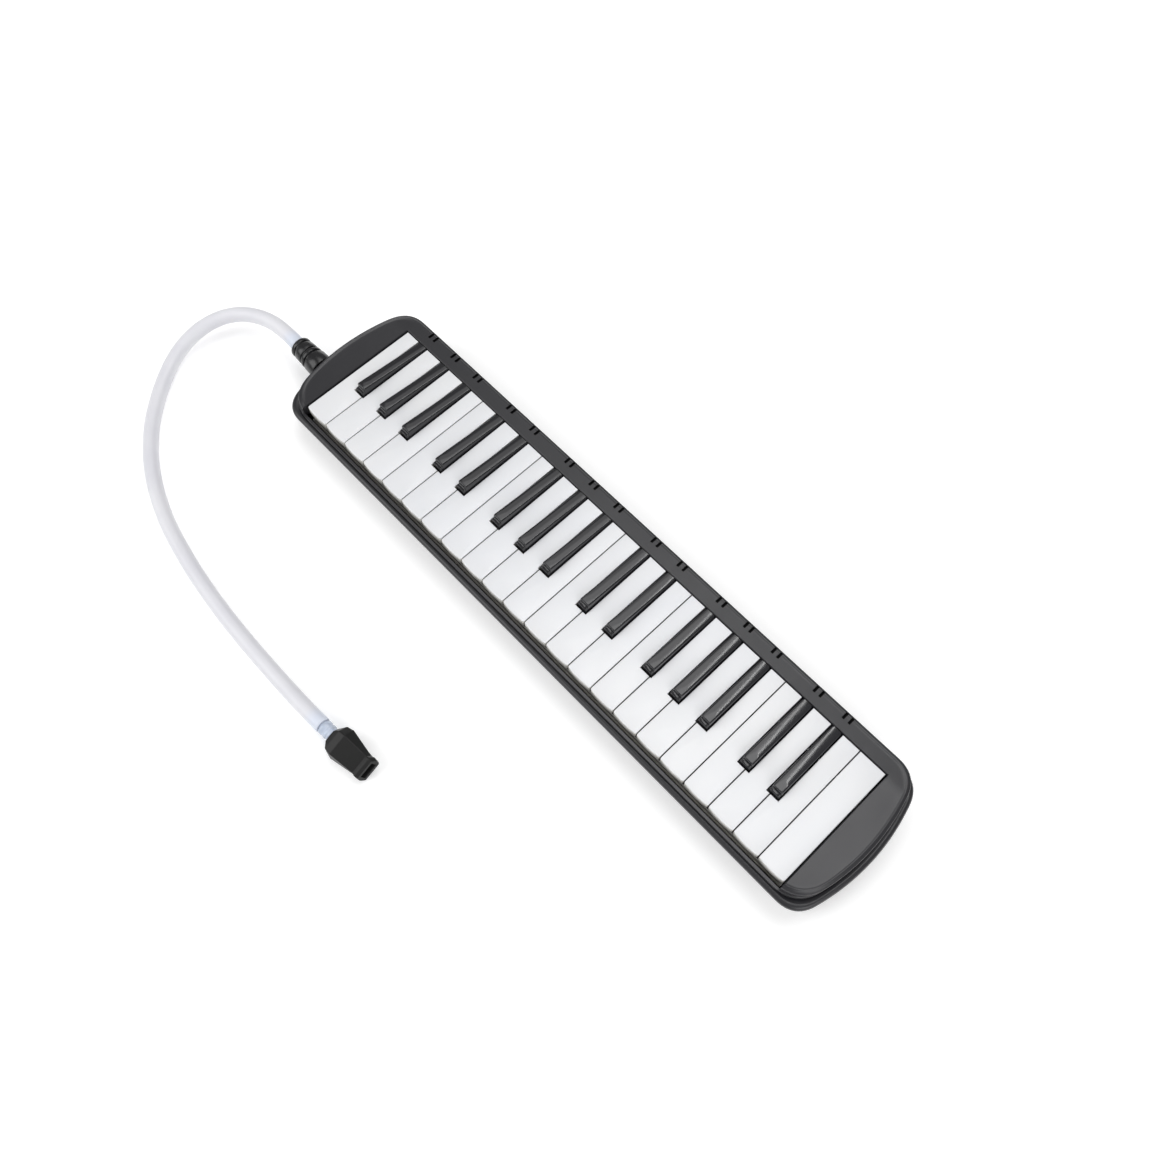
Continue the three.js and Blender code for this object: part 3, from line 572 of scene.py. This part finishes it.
def mouthpiece():
    """A flattened, faceted body with a ridged lip and a slot in its tip to blow into."""
    length = MOUTH["length"]
    matrix = mouth_matrix() @ Matrix.Rotation(math.radians(MOUTH["roll"]), 4, "X")
    stations = [
        (0.0, 5.2, 4.5, 3.4), (0.25, 5.4, 4.7, 3.6), (2.7, 8.8, 5.8, 6.0), (3.3, 9.1, 5.9, 6.15),
        (7.0, 10.05, 6.15, 6.55), (length - 5.0, 7.1, 3.3, 5.95), (length - 4.2, 6.85, 3.15, 5.85),
        (length - 2.4, 7.5, 3.65, 6.25), (length - 1.7, 7.5, 3.65, 6.25), (length - 0.4, 7.2, 3.4, 5.95),
        (length, 6.9, 3.1, 5.7),
    ]
    bm = bmesh.new()
    add_rings(bm, [mouth_section(*s) for s in stations])
    bmesh.ops.recalc_face_normals(bm, faces=bm.faces)
    along = [e for e in bm.edges if abs(e.verts[0].co.x - e.verts[1].co.x) > 0.3]
    bmesh.ops.bevel(bm, geom=along, offset=0.4, segments=3, profile=0.5, affect="EDGES",
                    clamp_overlap=True)
    for v in bm.verts:
        share = min(1.0, max(0.0, (v.co.x - MOUTH_TIP["slant_start"]) / MOUTH_TIP["slant_run"]))
        v.co.x -= share * MOUTH_TIP["slant"] * v.co.z
        v.co = matrix @ v.co
    body = mesh_object("mouthpiece_body", bm, 24)
    tool = bmesh.new()
    width, height = MOUTH_TIP["slot_half_width"], MOUTH_TIP["slot_half_height"]
    add_block(tool, length - MOUTH_TIP["slot_depth"], length + 3, -width, width, -height, height, 0.4)
    for v in tool.verts:
        v.co = matrix @ v.co
    flatten_facets(cut(body, mesh_object("slot_tool", tool)), 3.0)
    return finish_piece(body, MOUTH_BLACK, "hose_set", "mouthpiece_plastic", "mouthpiece")


def hose_plug():
    """The ribbed grip outside the case, a stem into the socket and a nipple under the hose's end."""
    stations = [
        (0.0, 4.4), (0.3, 4.7), (7.8, 4.7), (7.85, 7.5), (8.0, 7.8), (8.5, 8.05), (16.0, 7.8), (16.5, 7.55),
        (16.75, 7.2), (16.8, 6.6), (18.1, 6.5), (18.15, 7.0), (18.4, 7.3), (18.9, 7.45), (20.0, 7.4),
        (20.4, 7.2), (20.5, 6.9), (20.55, 6.3), (21.6, 6.3), (21.65, 6.7), (21.9, 7.0), (22.4, 7.15),
        (26.5, 6.95), (26.9, 6.75), (27.0, 6.5), (27.05, 6.0), (28.1, 6.0), (28.15, 6.4), (28.4, 6.7),
        (28.9, 6.85), (30.1, 6.75), (30.6, 6.5), (30.8, 6.1), (31.3, 5.3), (31.4, 5.0), (31.3, 4.8),
        (31.2, 3.15), (44.0, 3.1), (44.6, 2.8),
    ]
    matrix = Matrix.Translation((BLOW["seat"], BLOW["y"], BLOW["z"])) @ Matrix.Rotation(math.pi, 4, "Z")
    bm = bmesh.new()
    add_turned(bm, stations, matrix, 64)
    return finish_piece(mesh_object("plug_grip", bm), FITTING_BLACK, "hose_set", "fitting_plastic",
                        "hose_plug")


def flatten_facets(obj, least_area):
    """Shades faces larger than an area, in square millimetres, flat, so a facet keeps its crisp look."""
    for face in obj.data.polygons:
        if face.area > least_area * MM * MM:
            face.use_smooth = False
    return obj


# ---- Case ----
def case_ring(z, end_inset, side_inset, corner):
    """The tub's outline at a height, drawn in at its ends and sides."""
    depth = CASE["half_depth"] - side_inset
    plan = body_plan(CASE["half_length"] - end_inset, -depth, depth, corner, corner)
    return [(x, y, z) for x, y in plan]


def lower_case():
    """A tub with rounded lower edges, leaning sides, a soft shoulder and a flange turned inwards."""
    roof, wall, top = CASE["height"] - CASE["flange"], CASE["wall"], CASE["height"]
    base, knee, brow = (0.0, 9.5, 14.0, 8.0), (8.5, 2.6, 4.9, 12.0), (21.5, 0.4, 0.53, 12.5)
    base_bend, shoulder_bend = (0.0, 4.05, 7.8, 11.0), (top, -0.3, -0.81, 12.5)
    lower_edge = [base] + quadratic(base, base_bend, knee, CORNER_STEPS)
    shoulder = quadratic(brow, shoulder_bend, (top, 3.0, 3.0, 12.0), CORNER_STEPS)
    rings = [case_ring(*station) for station in lower_edge + [brow] + shoulder]
    mouth = body_plan(CASE_MOUTH["half_length"], CASE_MOUTH["front"], CASE_MOUTH["rear"],
                      CASE_MOUTH["corner"], CASE_MOUTH["corner"])
    rings.append(case_ring(CASE["seam"], 4.6, 4.4, 12.0))
    rings += [[(x, y, z) for x, y in mouth] for z in (CASE["seam"], roof)]
    rings.append(case_ring(roof, 0.4 + wall, 0.5 + wall, 10.0))
    for z, end_inset, side_inset, corner in reversed(lower_edge):
        rings.append(case_ring(z * (roof - wall) / roof + wall, end_inset + wall, side_inset + wall, corner))
    bm = bmesh.new()
    add_rings(bm, rings)
    body = mesh_object("case_tub", bm)
    tool = bmesh.new()
    for x, y in SCREW_PLACES:
        upright = Matrix.Translation((x, y, 0)) @ Matrix.Rotation(-math.pi / 2, 4, "Y")
        add_turned(tool, [(-1.0, 3.7), (0.4, 3.4), (1.9, 3.3), (1.9, 1.65), (4.0, 1.65)], upright, 32)
    for x in (-60, -20, 20, 60):
        add_block(tool, x - 12, x + 12, 28, 31, -1, 4, 0.9, 3)
    blow, drain = BLOW["hole_radius"], DRAIN["hole_radius"]
    add_turned(tool, [(-225, blow), (-190, blow)], Matrix.Translation((0, BLOW["y"], BLOW["z"])))
    add_turned(tool, [(195, drain), (215, drain)], Matrix.Translation((0, DRAIN["y"], DRAIN["z"])))
    cut(body, mesh_object("case_tool", tool))
    return finish_piece(body, CASE_BLACK, "case", "case_plastic", "lower_case")


def flat_ring(plan, z):
    """An outline at a height."""
    return [(x, y, z) for x, y in plan]


def rectangle(half_length, front, rear):
    """A rectangular outline, anticlockwise."""
    return [(-half_length, front), (half_length, front), (half_length, rear), (-half_length, rear)]


def cover_rings():
    """The cover's outside: a low rim at rail level, then the raised plate with a fine bead round its top."""
    foot, top, slope = COVER["foot"], COVER["top"], EDGE["slope"]

    def outline(inset, front, front_corner):
        return body_plan(COVER["half_length"] - inset, front + inset, COVER["rear"] - inset, front_corner,
                         COVER["corner"])

    def rim(inset, z):
        return flat_ring(outline(inset, COVER["front"], RAIL["front_corner"]), z)

    def plate(inset, z):
        return flat_ring(outline(inset, PANEL["front"], PANEL["corner"]), z)

    rings = [rim(0.7, foot), rim(0.3, foot), rim(0.1, foot + 0.3)]
    rings += [rim(inset, RAIL["front_top"] - drop) for inset, drop in RAIL_EDGE]
    rings += [plate(0.1, RAIL["front_top"] + 0.1), plate(0.05, RAIL["front_top"] + 0.4)]
    shoulder = arc_stations(0.0, top - EDGE["shoulder_foot"], EDGE["shoulder"], top - EDGE["shoulder_top"], 8)
    rings += [plate(inset, z) for inset, z in shoulder]
    rings += [plate(slope + inset, top - drop) for inset, drop in BEAD]
    return rings


def window_tool():
    """The keyboard window, chamfered at the top and open to the front above the rail."""
    half, front, rear, chamfer = (WINDOW[key] for key in ("half_length", "front", "rear", "chamfer"))
    top, rail = COVER["top"] - EDGE["dish"], RAIL["front_top"]
    wide, deep = half + chamfer, rear + chamfer
    rings = [flat_ring(rectangle(half, front, rear), z) for z in (REACH["below"], rail - 0.5)]
    rings += [flat_ring(rectangle(half, REACH["front"], rear), z) for z in (rail - 0.03, top - chamfer)]
    rings += [flat_ring(rectangle(wide, REACH["front"], deep), z) for z in (top + 0.02, REACH["above"])]
    tool = bmesh.new()
    add_rings(tool, rings)
    return mesh_object("window_tool", tool)


def hollow_tool():
    """The spaces under the raised ends and the rear rail."""
    skin, inner = COVER["skin"], WINDOW["half_length"] + WINDOW["skirt"]
    half, below = inner - 0.5, REACH["below"]
    tool = bmesh.new()
    add_block(tool, -half, half, WINDOW["rear"] - 2, COVER["rear"] - skin, below, RAIL["underside"])
    outline = body_plan(COVER["half_length"] - skin, COVER["front"] + skin, COVER["rear"] - skin,
                        RAIL["front_corner"] - 2.0, COVER["corner"] - skin)
    end = [p for p in outline if p[0] > inner]
    for side in (end, [(-x, y) for x, y in reversed(end)]):
        add_rings(tool, [flat_ring(side, below), flat_ring(side, COVER["top"] - EDGE["dish"] - skin)])
    return mesh_object("hollow_tool", tool)


def slot_middles(places):
    """The pair of slots behind each black key."""
    return [key["x"] + side * NOTCH["spacing"] / 2 for key in places if key["black"] for side in (-1, 1)]


def notch_tool(places):
    """A pair of slots in the rear rail behind each black key."""
    tool = bmesh.new()
    half_slot, top = NOTCH["width"] / 2, COVER["top"]
    for x in slot_middles(places):
        add_block(tool, x - half_slot, x + half_slot, NOTCH["front"], NOTCH["rear"],
                  top - NOTCH["depth"], top + 2, NOTCH["edge"], 2)
    return mesh_object("notch_tool", tool)


def paint_slot_shade(obj, places):
    """Paints the insides of the slots near-black: painted shade for the dark inside a deep slot."""
    obj.data.materials.append(NOTCH_SHADE)
    margin = 0.05
    half_slot, middles = NOTCH["width"] / 2 + margin, slot_middles(places)
    # A flat face is a slot's floor when it lies well below the rail's top.
    floor, highest_floor = COVER["top"] - NOTCH["depth"] - margin, COVER["top"] - NOTCH["depth"] + 0.6
    for face in obj.data.polygons:
        x, y, z = face.center / MM
        if not NOTCH["front"] - margin < y < NOTCH["rear"] + margin or z < floor:
            continue
        if z > highest_floor and abs(face.normal.z) > 0.5:
            continue
        if any(abs(x - middle) < half_slot for middle in middles):
            face.material_index = 1
    return obj


def slope_rear(obj):
    """Lowers the top behind the crown's start, so the rear rail falls away gently."""
    bm = bmesh.new()
    bm.from_mesh(obj.data)
    start, ease = CROWN["start"], CROWN["ease"]
    for step in CROWN["cuts"]:
        bmesh.ops.bisect_plane(bm, geom=bm.verts[:] + bm.edges[:] + bm.faces[:],
                               plane_co=(0, (start + step) * MM, 0), plane_no=(0, 1, 0))
    for v in bm.verts:
        beyond = v.co.y / MM - start
        if beyond > 0 and v.co.z > (COVER["top"] - CROWN["reach"]) * MM:
            eased = beyond * beyond / (2 * ease) if beyond < ease else beyond - ease / 2
            v.co.z -= eased * CROWN["fall"] * MM
    bm.to_mesh(obj.data)
    bm.free()
    return obj


def top_cover(places):
    """Raised ends and rear rail, with a thin low rail in front of the keys."""
    bm = bmesh.new()
    add_rings(bm, cover_rings())
    body = mesh_object("cover_shell", bm)
    cut(body, window_tool())
    cut(body, hollow_tool())
    slope_rear(body)
    cut(body, notch_tool(places))
    finish_piece(body, CASE_BLACK, "case", "case_plastic", "top_cover")
    return paint_slot_shade(body, places)


# ---- Keys ----
def key_places():
    """Each key's edges and the middle of its tail, from the bass end."""
    left = -WHITE["count"] * WHITE["pitch"] / 2
    places, white = [], 0
    for semitone in range(KEY_COUNT):
        edge = left + white * WHITE["pitch"]
        shift = BLACK_SHIFT.get(semitone % 12)
        if shift is None:
            places.append({"black": False, "x0": edge + WHITE["gap"] / 2,
                           "x1": edge + WHITE["pitch"] - WHITE["gap"] / 2})
            white += 1
        else:
            places.append({"black": True, "x": edge + shift})
    slot = BLACK["half_width"] + BLACK["clearance"]
    for i, key in enumerate(places):
        if key["black"]:
            key["rear0"], key["rear1"] = key["x"] - BLACK["half_width"], key["x"] + BLACK["half_width"]
        else:
            key["rear0"], key["rear1"] = key["x0"], key["x1"]
            if i and places[i - 1]["black"]:
                key["rear0"] = places[i - 1]["x"] + slot
            if i + 1 < KEY_COUNT and places[i + 1]["black"]:
                key["rear1"] = places[i + 1]["x"] - slot
        even = left + (i + 0.5) * WHITE["count"] * WHITE["pitch"] / KEY_COUNT
        key["tail"] = max(key["rear0"] + TAIL["half_width"], min(key["rear1"] - TAIL["half_width"], even))
    return places


def add_key_tail(bm, key):
    """The pivot lug, split by the rod's bore, and the tail behind it."""
    x0, x1 = key["tail"] - TAIL["half_width"], key["tail"] + TAIL["half_width"]
    y, z, bore, under = PIVOT["y"], PIVOT["z"], PIVOT["bore"], WHITE["bottom"] + 0.6
    add_block(bm, x0, x1, LUG["front"], y - bore, LUG["bottom"], under, 0.4)
    add_block(bm, x0, x1, y + bore, KEY_REAR - 0.5, LUG["bottom"], under, 0.4)
    add_block(bm, x0, x1, y - bore - 0.6, y + bore + 0.6, z + bore, under, 0.3)
    add_block(bm, x0, x1, KEY_REAR - 3, TAIL["rear"], TAIL["bottom"], TAIL["top"], 0.4)


def white_plan(key, inset, back):
    """The outline of a white key, anticlockwise: its sides drawn in by inset and its front by back."""
    x0, x1, front = key["x0"] + inset, key["x1"] - inset, WHITE["front"] + back
    corner, cheek = WHITE_CORNER, WHITE["front"] + back + WHITE_CORNER
    plan = [(x0, cheek)]
    plan += quadratic(plan[-1], (x0, front), (x0 + corner, front - 0.1), 5)
    plan += quadratic(plan[-1], ((x0 + x1) / 2, front - 2 * WHITE["bow"]), (x1 - corner, front - 0.1), 12)
    plan += quadratic(plan[-1], (x1, front), (x1, cheek), 5)
    notch = BLACK["front"] - NOTCH_CLEARANCE - inset
    rear0, rear1, rear = key["rear0"] + inset, key["rear1"] - inset, KEY_REAR - inset
    if key["rear1"] < key["x1"] - 0.01:
        plan += [(x1, notch), (rear1, notch)]
    plan += [(rear1, rear), (rear0, rear)]
    if key["rear0"] > key["x0"] + 0.01:
        plan += [(rear0, notch), (x0, notch)]
    return plan


def white_key(key, name):
    """A white key: a flat top, and a front face with a fine shadow line just below the top edge."""
    stations = [(inset, back, WHITE["bottom"] + rise) for inset, back, rise in WHITE_FOOT]
    stations += [(inset, back, WHITE["top"] - drop) for inset, back, drop in WHITE_CREST]
    bm = bmesh.new()
    add_rings(bm, [flat_ring(white_plan(key, inset, back), z) for inset, back, z in stations])
    add_key_tail(bm, key)
    return finish_piece(mesh_object(name + "_moulding", bm, 40), KEY_WHITE, name, "white_key_plastic", name)


def black_section(x, y, half, top):
    """A black key's section: leaning sides, rounded shoulders and a slightly crowned top."""
    right = [(BLACK["half_width"], WHITE["bottom"])]
    right += [(half - inset, top - drop) for inset, drop in BLACK_SHOULDER]
    left = [(-across, z) for across, z in reversed(right)]
    return [(x + across, y, z) for across, z in right + [(0.0, top)] + left]


def black_key(key, name):
    """A black key: it rises to the front, drops to a ledge and ends in an upright face."""
    front, rear_top, front_top = BLACK["front"], BLACK["rear_top"], BLACK["front_top"]
    face, ledge, half = front + BLACK_STEP["depth"], BLACK_STEP["top"], BLACK["top_half_width"]
    crest, steps = face + BLACK["crest"], 8
    stations = [(KEY_REAR, half, rear_top)]
    for i in range(1, steps + 1):
        y = KEY_REAR + (crest - KEY_REAR) * i / steps
        stations.append((y, half, rear_top + (front_top - rear_top) * i / steps))
    for line, place, level in ((BLACK_NOSE, face, front_top), (BLACK_FACE, face, ledge),
                               (BLACK_FRONT, front, ledge)):
        stations += [(place + behind, half - inset, level + rise) for behind, inset, rise in line]
    bm = bmesh.new()
    add_rings(bm, [black_section(key["x"], *station) for station in stations])
    add_key_tail(bm, key)
    return finish_piece(mesh_object(name + "_moulding", bm, 34), KEY_BLACK, name, "black_key_plastic", name)


def valve_pad(key, name):
    """The soft pad under a key's tail, which closes its air slot."""
    bm = bmesh.new()
    half = TAIL["half_width"] - PAD["inset"]
    add_block(bm, key["tail"] - half, key["tail"] + half, PAD["front"], TAIL["rear"] - PAD["inset"],
              PAD["bottom"], TAIL["bottom"] + 0.1, 0.35, 3)
    return finish_piece(mesh_object(name + "_pad", bm), PAD_LEATHER, name, "felt")


def keyboard(places):
    whites = blacks = 0
    for key in places:
        if key["black"]:
            blacks += 1
            name = f"black_key_{blacks:02d}"
            black_key(key, name)
        else:
            whites += 1
            name = f"white_key_{whites:02d}"
            white_key(key, name)
        valve_pad(key, name)


# ---- CAD nodes that stay: their shape is right, so they only take a better material ----
def dress_cad_nodes():
    looks = {
        "key_frame": INNER_PALE, "key_rest_felt": REST_FELT, "key_pivot_rod": STEEL, "key_springs": STEEL,
        "reed_chamber": INNER_PALE, "chamber_cover": INNER_PALE, "reed_plate_low": BRASS,
        "reed_plate_high": BRASS, "blow_socket": CASE_BLACK, "drain_button": FITTING_BLACK,
        "drain_seal": SEAL_BLACK, "drain_spring": STEEL,
    }
    looks.update({f"case_screw_{i + 1}": STEEL for i in range(len(SCREW_PLACES))})
    for name, material in looks.items():
        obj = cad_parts[name]
        obj.data.materials.clear()
        obj.data.materials.append(material)


studio()
hose([hose_connector(), mouthpiece(), hose_plug()])
KEYS = key_places()
lower_case()
top_cover(KEYS)
keyboard(KEYS)
dress_cad_nodes()
